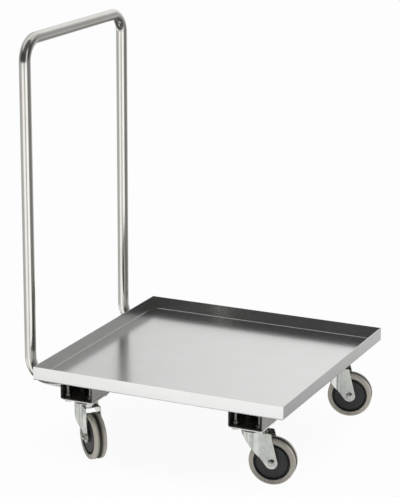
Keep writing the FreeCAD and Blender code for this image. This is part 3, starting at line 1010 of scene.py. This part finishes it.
# %% [markdown]
# ## Caster bolts and nuts
# Four bolts hold each caster's plate under its channel, heads below and nuts inside. A bolt is a head
# and a thread that are joined into one solid. A nut is a prism with chamfers on both sides, bored
# through with a cone at each mouth. Its bore is plain, because the bolt's thread fills it.

# %% Make a caster bolt
bolt_head_height, bolt_length = 5.3, 35.0


def finish_fastener(piece):
    """Merge the slivers that cutting leaves, and shade the flats flat."""
    bpy.ops.object.select_all(action="DESELECT")
    piece.select_set(True)
    bpy.context.view_layer.objects.active = piece
    bpy.ops.object.mode_set(mode="EDIT")
    close_piece()
    even_shading(piece)
    print(piece.name, "faces:", len(piece.data.polygons))


caster_bolt = hex_prism("caster_bolt", -bolt_head_height, 0, True, False)
shank = wind_thread("shank", -margin, bolt_length)
draw_in_tip(shank, bolt_length)
combine(caster_bolt, shank, "UNION")
finish_fastener(caster_bolt)

# %% Make a caster nut
nut_height = 6.5
bore_radius, mouth_radius, mouth_depth = 4.05, 4.7, 0.6

caster_nut = hex_prism("caster_nut", 0, nut_height, True, True)
nut_bore = turned_shape("bore", [
    (0, -margin), (mouth_radius, -margin), (mouth_radius, 0), (bore_radius, mouth_depth),
    (bore_radius, nut_height - mouth_depth), (mouth_radius, nut_height),
    (mouth_radius, nut_height + margin), (0, nut_height + margin),
])
combine(caster_nut, nut_bore, "DIFFERENCE")
finish_fastener(caster_nut)

# %% [markdown]
# ## Axle bolts and lock nuts
# A bolt runs through both cheeks of the fork. Its head has a shallow dish, its shank is plain where
# the wheel turns, and only its end is threaded. The lock nut has a round collar that grips the
# thread. The shank is a little thicker than the thread's crest: two round surfaces of one radius
# can't be joined cleanly.

# %% Make an axle bolt
# Millimetres along the axle from the middle of the wheel. The head is on the positive side.
fork_half = 18.0
lock_nut_height, axle_end = 8.0, 1.5
shank_radius = 4.0
dish_floor, dish_mouth = 3.6, 4.3
dish_depth, dish_middle = 0.5, 0.6
head_top = fork_half + bolt_head_height
axle_tip = -fork_half - lock_nut_height - axle_end

axle_bolt = hex_prism("axle_bolt", fork_half, head_top, False, True)
dish = turned_shape("dish", [
    (0, head_top - dish_middle), (dish_floor, head_top - dish_depth), (dish_mouth, head_top + margin),
    (0, head_top + margin),
])
combine(axle_bolt, dish, "DIFFERENCE")
plain_shank = turned_shape("plain_shank", [
    (0, -fork_half), (shank_radius, -fork_half), (shank_radius, fork_half + margin),
    (0, fork_half + margin),
])
combine(axle_bolt, plain_shank, "UNION")
axle_thread = wind_thread("axle_thread", axle_tip, margin - fork_half)
draw_in_tip(axle_thread, axle_tip)
combine(axle_bolt, axle_thread, "UNION")
finish_fastener(axle_bolt)

# %% Make a lock nut
collar_height, collar_radius = 2.5, 5.8
collar_round, collar_steps = 1.0, 4
nut_outer = -fork_half - lock_nut_height
nut_shoulder = nut_outer + collar_height

axle_nut = hex_prism("axle_nut", nut_shoulder, -fork_half, True, True)
collar = draw_section("collar", [
    (0, nut_outer), (collar_radius, nut_outer), (collar_radius, nut_shoulder + margin),
    (0, nut_shoulder + margin),
])
round_corners(collar, [(collar_radius, nut_outer)], collar_round, collar_steps)
spin_section(collar, turned_steps)
combine(axle_nut, collar, "UNION")
lock_bore = turned_shape("bore", [
    (0, nut_outer - margin), (bore_radius, nut_outer - margin), (bore_radius, margin - fork_half),
    (0, margin - fork_half),
])
combine(axle_nut, lock_bore, "DIFFERENCE")
finish_fastener(axle_nut)

# %% [markdown]
# ## Fitting the fasteners
# The bolts of all four casters are one node in the solids, and so are the nuts, so their copies are
# joined into one piece each. The axle bolts turn with their forks and stay apart. The places come
# from the plates' corners and from the wheels' joints.

# %% Fit the caster bolts and nuts
plate_edge_x, plate_edge_y = 10 * mm, 11 * mm


def bolt_places(height):
    """Where the bolts of all casters stand: in from the corners of each top plate."""
    places = []
    for corner in corners:
        low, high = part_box(corner + "_top_plate")
        for x in (low.x + plate_edge_x, high.x - plate_edge_x):
            for y in (low.y + plate_edge_y, high.y - plate_edge_y):
                spot = Matrix.Translation((x, y, height))
                places.append(spot @ Matrix.Rotation(math.pi / 2, 4, "X"))
    return places


def gather_copies(master, places):
    """Join a copy of the master at each place into one mesh, and throw the master away."""
    bpy.ops.object.select_all(action="DESELECT")
    for place in places:
        copy = bpy.data.objects.new(master.name, master.data.copy())
        copy.data.transform(place)
        bpy.context.scene.collection.objects.link(copy)
        copy.select_set(True)
    bpy.context.view_layer.objects.active = copy
    bpy.ops.object.join()
    bpy.data.objects.remove(master)
    return copy


head_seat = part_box("caster_bolts")[0].z + bolt_head_height * mm
nut_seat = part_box("caster_nuts")[0].z
for master, seat, name, node, finish in (
    (caster_bolt, head_seat, "threaded_bolts", "caster_bolts", zinc_fastener),
    (caster_nut, nut_seat, "chamfered_nuts", "caster_nuts", dark_dull_zinc),
):
    group = gather_copies(master, bolt_places(seat))
    fit_copy(group, name, Matrix(), "chassis", node, finish)
    print(name, "faces:", len(group.data.polygons))
    bpy.data.objects.remove(group)

# %% Fit the axle bolts and lock nuts
for corner in corners:
    place = axle_place(corner)
    fork = corner + "_fork"
    for master, name, node in (
        (axle_bolt, "_dished_bolt", "_axle_bolt"), (axle_nut, "_lock_nut", "_axle_nut"),
    ):
        fit_copy(master, corner + name, place, fork, corner + node, zinc_fastener)
bpy.data.objects.remove(axle_bolt)
bpy.data.objects.remove(axle_nut)
print("axles fitted:", len(corners))

# %% [markdown]
# ## Weld beads
# The handle's feet are welded to the left channel all round, and the channels are stitched to the
# tray with short runs. A smooth fillet would look like filler. A bead is laid in drops that overlap
# like coins, so each starts from a torus or a long ball, and every few rows of its vertices are
# pushed out.

# %% Weld the handle's feet
bead_radius = 1.9 * mm
bead_sides = 12
bead_stand_off = 0.5 * mm
bead_smooth_angle = 60
ripple_height = 0.35 * mm
ripple_rows = 4
ring_drops = 26
ring_rows = ring_drops * ripple_rows


def ripple(bead, row_of):
    """Push out every few rows of a bead. The row is told from a vertex's place."""
    pick(bead, "VERT", lambda vertex: row_of(vertex.co) % ripple_rows == 0)
    bpy.ops.transform.shrink_fatten(value=ripple_height)
    close_piece(bead_smooth_angle)


def row_round(offset):
    return round(math.atan2(offset.z, offset.y) / (2 * math.pi) * ring_rows)


def fit_bead(bead, name):
    bead.name = name
    bead.data.materials.append(weld_metal)
    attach(bead, "chassis")
    print(name, "faces:", len(bead.data.polygons))


for y, name in ((front_y, "front_foot_weld"), (back_y, "back_foot_weld")):
    foot = Vector((foot_x, y, foot_z))
    bead = open_primitive(
        bpy.ops.mesh.primitive_torus_add, name, major_segments=ring_rows, minor_segments=bead_sides,
        major_radius=tube_radius + bead_stand_off, minor_radius=bead_radius, location=foot,
        rotation=(0, math.pi / 2, 0))
    ripple(bead, lambda spot: row_round(spot - foot))
    fit_bead(bead, name)

# %% Stitch the channels to the tray
stitch_length = 32 * mm
stitch_rows = 48
stitch_sides = 16
stitch_drop = 1 * mm
shares_of_half_length = (-0.55, 0, 0.55)


def row_along(spot):
    share = max(-1, min(1, 2 * spot.y / stitch_length))
    return round(math.acos(share) / math.pi * stitch_rows)


stitch = open_primitive(
    bpy.ops.mesh.primitive_uv_sphere_add, "stitch", segments=stitch_sides, ring_count=stitch_rows,
    radius=1, rotation=(math.pi / 2, 0, 0), scale=(bead_radius, bead_radius, stitch_length / 2))
ripple(stitch, row_along)
places = []
for channel in ("left_channel", "right_channel"):
    low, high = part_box(channel)
    for x in (low.x, high.x):
        for share in shares_of_half_length:
            places.append(Matrix.Translation((x, share * high.y, high.z - stitch_drop)))
fit_bead(gather_copies(stitch, places), "stitch_welds")
print("stitches:", len(places))
